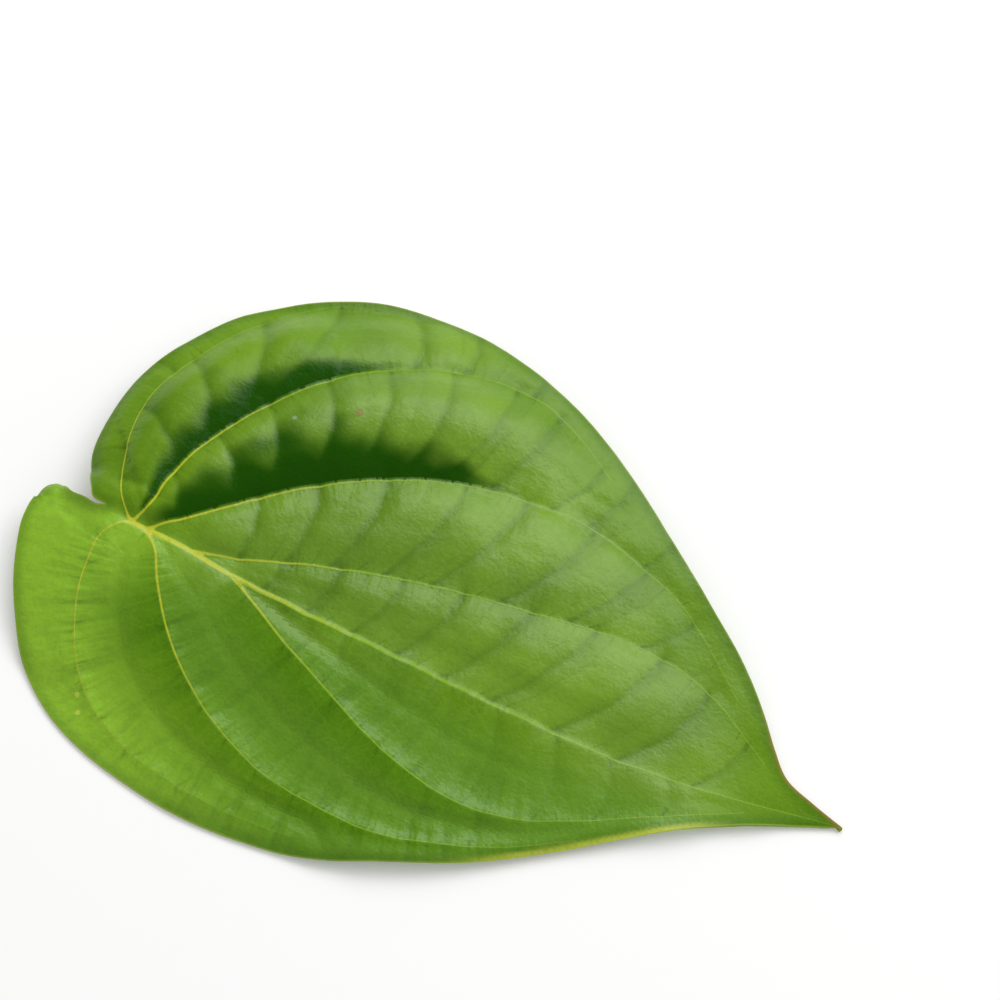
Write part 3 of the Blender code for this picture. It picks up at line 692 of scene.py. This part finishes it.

# %% [markdown]
# ## The leaf's colours
#
# The upper side is a deep, slightly waxy green, lighter on the near lobe and yellow-green along the
# veins. The colour is built in layers, as in watercolour: a green that drifts slowly over the blade,
# the regions with painted shade beside the near veins and after each rung, a fine mottling, banks of
# painted shade, the net of the smallest veins, the pleats and rungs with painted shade in their
# hollows and creases, the main veins, and last the margin, with painted shade as if it turned down
# and a pale lip partly painted as a glow of light coming through it, and a few specks. Beside the
# main veins the skin is pleated, which bump nodes show well enough, as a pleat is far too fine to be
# seen in the outline.
# Light also comes through a leaf, so a share of the surface is a Translucent shader.

# %% Small helpers that make the node trees easier to read


class Paint:
    """A material's node tree, with short names for the nodes that these finishes use."""

    def __init__(self, material):
        material.use_nodes = True
        self.tree = material.node_tree
        self.tree.nodes.clear()
        self.place = self.add("ShaderNodeTexCoord").outputs["Object"]

    def add(self, kind, **settings):
        node = self.tree.nodes.new(kind)
        for name, value in settings.items():
            setattr(node, name, value)
        return node

    def plug(self, socket, value):
        if isinstance(value, bpy.types.NodeSocket):
            self.tree.links.new(value, socket)
        else:
            socket.default_value = value

    def attribute(self, name):
        return self.add("ShaderNodeAttribute", attribute_name=name).outputs["Fac"]

    def noise(self, size, detail=3.0, rough=0.5):
        """Cloudy noise whose spots are about size mm across, 0 to 1."""
        node = self.add("ShaderNodeTexNoise")
        self.plug(node.inputs["Vector"], self.place)
        node.inputs["Scale"].default_value = 1 / (size * MM)
        node.inputs["Detail"].default_value = detail
        node.inputs["Roughness"].default_value = rough
        return node.outputs["Fac"]

    def net(self, size):
        """0 on the lines of an irregular net whose cells are about size mm across."""
        node = self.add("ShaderNodeTexVoronoi", feature="DISTANCE_TO_EDGE")
        self.plug(node.inputs["Vector"], self.place)
        node.inputs["Scale"].default_value = 1 / (size * MM)
        return node.outputs["Distance"]

    def beside_vein(self, along, out):
        """Noise with this many spots for each mm along the nearest main vein, and out from it."""
        place = self.add("ShaderNodeCombineXYZ")
        self.plug(place.inputs["X"], self.times(self.attribute("vein_run"), along))
        self.plug(place.inputs["Y"], self.times(self.attribute("vein_away"), out))
        node = self.add("ShaderNodeTexNoise")
        self.plug(node.inputs["Vector"], place.outputs[0])
        node.inputs["Scale"].default_value = 1.0
        return node.outputs["Fac"]

    def fit(self, value, low, high, to_low=0.0, to_high=1.0):
        """Map low..high to to_low..to_high with a soft start and end."""
        node = self.add("ShaderNodeMapRange", interpolation_type="SMOOTHSTEP")
        self.plug(node.inputs["Value"], value)
        ends = (("From Min", low), ("From Max", high), ("To Min", to_low), ("To Max", to_high))
        for name, number in ends:
            node.inputs[name].default_value = number
        return node.outputs["Result"]

    def away_from(self, along, across):
        """The distance to a point of the blade, seen straight from above, in metres."""
        flat = self.add("ShaderNodeVectorMath", operation="MULTIPLY")
        self.plug(flat.inputs[0], self.place)
        flat.inputs[1].default_value = (1, 1, 0)
        node = self.add("ShaderNodeVectorMath", operation="DISTANCE")
        self.plug(node.inputs[0], flat.outputs["Vector"])
        node.inputs[1].default_value = place_in_frame(along, across, 0)
        return node.outputs["Value"]

    def sum(self, operation, a, b):
        node = self.add("ShaderNodeMath", operation=operation)
        self.plug(node.inputs[0], a)
        self.plug(node.inputs[1], b)
        return node.outputs[0]

    def times(self, a, b):
        return self.sum("MULTIPLY", a, b)

    def mix(self, factor, a, b):
        node = self.add("ShaderNodeMix", data_type="RGBA")
        self.plug(node.inputs["Factor"], factor)
        self.plug(node.inputs["A"], a)
        self.plug(node.inputs["B"], b)
        return node.outputs["Result"]

    def bump(self, value, depth, under=None):
        """Raise the surface by depth mm where value is 1."""
        node = self.add("ShaderNodeBump")
        node.inputs["Strength"].default_value = 1.0
        node.inputs["Distance"].default_value = depth * MM
        self.plug(node.inputs["Height"], value)
        if under is not None:
            self.plug(node.inputs["Normal"], under)
        return node.outputs["Normal"]


def green(red, green_part, blue):
    """A colour from its 0 to 255 screen values, turned into the linear values that shaders use."""
    values = [part / 255 for part in (red, green_part, blue)]
    return (*[v / 12.92 if v <= 0.04045 else ((v + 0.055) / 1.055) ** 2.4 for v in values], 1)


print("mid green is", [round(v, 3) for v in green(84, 134, 28)])

# %% The upper side
DEEP_GREEN = green(107, 150, 26)
LIGHT_GREEN = green(124, 168, 30)
# The dark green of painted shade: banks, beside the near veins, after rungs, pleat hollows, rung
# creases, the rolled margin. The far back and the tip are mixed a little towards it too.
SHADE_GREEN = green(32, 84, 0)
NEAR_GREEN = green(100, 154, 14)
LOBE_GREEN = green(152, 204, 40)
VEIN_GREEN = green(134, 176, 40)
STALK_YELLOW = green(196, 206, 50)
EDGE_YELLOW = green(160, 178, 70)
# partly the margin's own pale lip, partly a painted glow of light through it
EDGE_LIP_GLOW = green(186, 200, 60)
EDGE_RED = green(150, 120, 56)
THROUGH_GREEN = green(120, 190, 20)
SPECKS = (   # a few small marks, as on any leaf: (along, across), size in mm, colour
    ((23.1, 28.3), 0.8, green(150, 110, 60)),
    ((14.7, 24.0), 0.5, green(150, 186, 150)),
    ((4.1, -25.2), 0.5, green(220, 236, 90)),
    ((5.4, -27.5), 0.5, green(220, 236, 90)),
)
WAX = (0.34, 0.42)   # the roughness of the waxy skin, least and most
THROUGH = 0.08       # the share of the light that comes through the blade
# The bump depths of the skin's relief, in mm
RIDGES = 0.10
PLEATS = 0.9
NET = 0.008
DIMPLES = 0.09
GRAIN = 0.075


def finish_upper_side(material):
    paint = Paint(material)
    vein, vein_away = paint.attribute("vein_near"), paint.attribute("vein_away")
    rung, shade = paint.attribute("rung_near"), paint.attribute("shade")
    edge = paint.attribute("edge_away")
    from_middle = paint.attribute("from_middle")
    far_half = paint.fit(from_middle, 0.0, 1.0, 0.4, 1)
    colour = paint.mix(paint.fit(paint.noise(16, detail=2), 0.3, 0.7), DEEP_GREEN, LIGHT_GREEN)

    # The regions: the near half, its light lobe, where the blade is darker, and painted shade beside the
    # near veins and after each rung
    colour = paint.mix(paint.fit(from_middle, -1.0, -7.0, 0, 0.8), colour, NEAR_GREEN)
    colour = paint.mix(paint.attribute("lobe"), colour, LOBE_GREEN)
    colour = paint.mix(paint.times(paint.attribute("far_back"), 0.16), colour, SHADE_GREEN)
    colour = paint.mix(paint.fit(paint.attribute("along"), 0.78, 0.94, 0, 0.35), colour, SHADE_GREEN)
    # painted shade beside the near half's inner veins
    colour = paint.mix(paint.times(paint.attribute("deep"), 0.32), colour, SHADE_GREEN)
    # painted shade on the far half just after each rung, fading towards the next
    shade_after_rung = paint.fit(paint.attribute("phase"), 0.0, 0.5, 0.17, 0)
    colour = paint.mix(paint.times(shade_after_rung, far_half), colour, SHADE_GREEN)

    # The mottling, the banks' painted shade, the finest net, and painted shade in the pleats' hollows
    mottle = paint.noise(1.1, detail=4, rough=0.65)
    colour = paint.mix(paint.fit(mottle, 0.35, 0.75, 0, 0.25), colour, DEEP_GREEN)
    # painted shade of the banks
    colour = paint.mix(shade, colour, SHADE_GREEN)
    net = paint.net(1.3)
    net_line = paint.times(paint.fit(net, 0.0, 0.10, 0.07, 0), paint.sum("SUBTRACT", 1.0, shade))
    colour = paint.mix(net_line, colour, LOBE_GREEN)
    pleats, pleated = paint.beside_vein(0.42, 0.07), paint.attribute("pleated")
    # painted shade in the hollows of the pleats
    colour = paint.mix(paint.times(paint.fit(pleats, 0.50, 0.32, 0, 0.28), pleated), colour, SHADE_GREEN)

    # The rungs, with painted shade in the far half's creases, darkest where they meet a main vein, and
    # then the main veins
    # painted shade along the rung creases of the far half
    colour = paint.mix(paint.times(paint.fit(rung, 0.0, 1.3, 0.09, 0), far_half), colour, SHADE_GREEN)
    tick = paint.times(paint.fit(rung, 0.0, 0.8, 0.25, 0), paint.fit(vein_away, 0.5, 1.8, 1, 0))
    colour = paint.mix(tick, colour, SHADE_GREEN)
    base = paint.fit(paint.attribute("from_stalk"), 0.02, 0.42, 1, 0)
    line_colour = paint.mix(base, VEIN_GREEN, STALK_YELLOW)
    colour = paint.mix(paint.fit(vein, 0.5, 1.5, 1, 0), colour, line_colour)

    # The margin, with painted shade as if it turned down, a pale lip partly painted as a glow of light,
    # and the specks
    # painted shade along the margin, as if it turned down
    colour = paint.mix(paint.fit(edge, 0.3, 2.2, 0.3, 0), colour, SHADE_GREEN)
    colour = paint.mix(paint.fit(edge, 0.0, 0.3, 0.7, 0), colour, EDGE_YELLOW)
    # partly the margin's pale lip, partly a painted glow of light coming through it
    colour = paint.mix(paint.attribute("lip_and_glow"), colour, EDGE_LIP_GLOW)
    colour = paint.mix(paint.attribute("red_rim"), colour, EDGE_RED)
    for (along, across), size, tint in SPECKS:
        away = paint.away_from(along, across)
        colour = paint.mix(paint.fit(away, size * MM / 2, size * MM, 0.6, 0), colour, tint)

    # The skin, from the ridges and pleats down to the finest grain
    ridges = paint.beside_vein(1.5, 0.16)
    skin = paint.bump(paint.times(ridges, paint.attribute("ridged")), RIDGES)
    skin = paint.bump(paint.times(pleats, pleated), PLEATS, skin)
    skin = paint.bump(paint.fit(net, 0.0, 0.25), NET, skin)
    skin = paint.bump(paint.noise(1.8, detail=2), DIMPLES, skin)
    skin = paint.bump(paint.noise(0.55, detail=3), GRAIN, skin)
    surface = paint.add("ShaderNodeBsdfPrincipled")
    paint.plug(surface.inputs["Base Color"], colour)
    rough = paint.sum("SUBTRACT", paint.fit(mottle, 0.3, 0.7, *WAX), paint.times(shade, 0.10))
    paint.plug(surface.inputs["Roughness"], rough)
    paint.plug(surface.inputs["Normal"], skin)
    paint.plug(surface.inputs["Specular IOR Level"], paint.times(paint.attribute("wax"), 0.5))
    through = paint.add("ShaderNodeBsdfTranslucent")
    paint.plug(through.inputs["Color"], THROUGH_GREEN)
    both = paint.add("ShaderNodeMixShader")
    both.inputs["Fac"].default_value = THROUGH
    paint.tree.links.new(surface.outputs[0], both.inputs[1])
    paint.tree.links.new(through.outputs[0], both.inputs[2])
    paint.tree.links.new(both.outputs[0], paint.add("ShaderNodeOutputMaterial").inputs["Surface"])
    return len(paint.tree.nodes)


print("the upper side's finish has", finish_upper_side(upper_material), "nodes")

# %% [markdown]
# The underside has no wax: it is paler, greyer and matt, and its ribs are nearly cream.

# %% The underside and the stalk
UNDER_GREEN = green(128, 160, 84)
UNDER_PALE = green(150, 178, 104)
RIB_CREAM = green(186, 200, 128)
MATT = 0.62          # the roughness of skin without wax


def finish_underside(material, is_stalk=False):
    paint = Paint(material)
    colour = paint.mix(paint.fit(paint.noise(9, detail=4), 0.3, 0.7), UNDER_GREEN, UNDER_PALE)
    if is_stalk:
        colour = paint.mix(paint.fit(paint.noise(2.2, detail=3), 0.3, 0.7), UNDER_GREEN, RIB_CREAM)
    else:
        colour = paint.mix(paint.fit(paint.net(1.5), 0.0, 0.12, 0.4, 0), colour, RIB_CREAM)
        colour = paint.mix(paint.fit(paint.attribute("rung_near"), 0.1, 0.5, 0.6, 0), colour, RIB_CREAM)
        colour = paint.mix(paint.fit(paint.attribute("vein_away"), 0.3, 0.9, 0.9, 0), colour, RIB_CREAM)
    skin = paint.bump(paint.noise(0.6, detail=3), 0.04)
    surface = paint.add("ShaderNodeBsdfPrincipled")
    paint.plug(surface.inputs["Base Color"], colour)
    surface.inputs["Roughness"].default_value = MATT
    paint.plug(surface.inputs["Normal"], skin)
    paint.tree.links.new(surface.outputs[0], paint.add("ShaderNodeOutputMaterial").inputs["Surface"])
    return len(paint.tree.nodes)


print("the underside's finish has", finish_underside(under_material), "nodes")
stalk_material = bpy.data.materials.new("leaf stalk")
cut_material = bpy.data.materials.new("leaf stalk cut")
finish_underside(stalk_material, is_stalk=True)
finish_underside(cut_material, is_stalk=True)
stalk.data.materials.append(stalk_material)
stalk.data.materials.append(cut_material)

# %% [markdown]
# ## The table, the light and the camera
#
# The leaf lies on plain white. One large soft light stands behind it, so that the swellings of the
# blade shine where they face it, and a weak even light from all around keeps the rest clear. The
# table glows a little, which keeps the ground white without a second lamp mirrored in the wax.
# The camera looks down at 60 degrees from the near side.

# %% The white table
TABLE_SIZE = 3.0
TABLE_WHITE = (0.92, 0.92, 0.915, 1)
WHITE = (1, 1, 1, 1)
bpy.ops.mesh.primitive_plane_add(size=TABLE_SIZE, location=(0, 0, 0))
table = bpy.context.object
table.name = "white_table"
table_material = bpy.data.materials.new("white table")
table_material.use_nodes = True
table_shader = table_material.node_tree.nodes["Principled BSDF"]
table_shader.inputs["Base Color"].default_value = TABLE_WHITE
table_shader.inputs["Roughness"].default_value = 0.9
table_shader.inputs["Specular IOR Level"].default_value = 0.1
table.data.materials.append(table_material)
print("the table is", table.dimensions.x, "m wide")

# %% The camera
CAMERA_TURN = math.radians(24.2)    # to the left of looking straight across the leaf
CAMERA_RISE = math.radians(60)
CAMERA_AWAY = 0.404
LENS = 100
FILM = 36
LOOK_AT = place_in_frame(46.56, 26.18, 5.0)

back = Vector((math.sin(CAMERA_TURN) * math.cos(CAMERA_RISE),
               -math.cos(CAMERA_TURN) * math.cos(CAMERA_RISE), math.sin(CAMERA_RISE)))
right = Vector((math.cos(CAMERA_TURN), math.sin(CAMERA_TURN), 0))
upward = back.cross(right)
camera_data = bpy.data.cameras.new("camera")
camera_data.lens = LENS
camera_data.sensor_width = FILM
camera_data.clip_start = 0.01
camera = bpy.data.objects.new("camera", camera_data)
turn = Matrix((right, upward, back)).transposed().to_4x4()
camera.matrix_world = Matrix.Translation(LOOK_AT + back * CAMERA_AWAY) @ turn
bpy.context.scene.collection.objects.link(camera)
bpy.context.scene.camera = camera
print("the camera is", round(CAMERA_AWAY * 100), "cm away")

# %% The lights
KEY_TURN = math.radians(78)      # from +X towards +Y, so the light stands on the leaf's far side
KEY_RISE = math.radians(43)
KEY_AWAY = 0.80
KEY_SIZE = (1.30, 0.50)          # wide and high, in metres
KEY_GLOW = 2.9
SKY_GLOW = 0.56
TABLE_GLOW = 0.11


def soft_light(name, towards, rise, away, size, glow):
    """A rectangular light of even brightness that faces the leaf."""
    data = bpy.data.lights.new(name, "AREA")
    data.shape = "RECTANGLE"
    data.size, data.size_y = size
    data.energy = glow * math.pi * size[0] * size[1]
    light = bpy.data.objects.new(name, data)
    level = math.cos(rise)
    way = Vector((math.cos(towards) * level, math.sin(towards) * level, math.sin(rise)))
    light.location = LOOK_AT + way * away
    light.rotation_euler = way.to_track_quat("Z", "Y").to_euler()
    bpy.context.scene.collection.objects.link(light)
    return light


soft_light("key_light", KEY_TURN, KEY_RISE, KEY_AWAY, KEY_SIZE, KEY_GLOW)
world = bpy.data.worlds.new("even light")
world.use_nodes = True
sky = world.node_tree.nodes["Background"]
sky.inputs["Color"].default_value = WHITE
sky.inputs["Strength"].default_value = SKY_GLOW
world.cycles_visibility.glossy = False
bpy.context.scene.world = world
table_shader.inputs["Emission Color"].default_value = WHITE
table_shader.inputs["Emission Strength"].default_value = TABLE_GLOW
bpy.context.scene.view_settings.view_transform = "Standard"
print("one soft light behind the leaf, and an even sky that doesn't mirror")
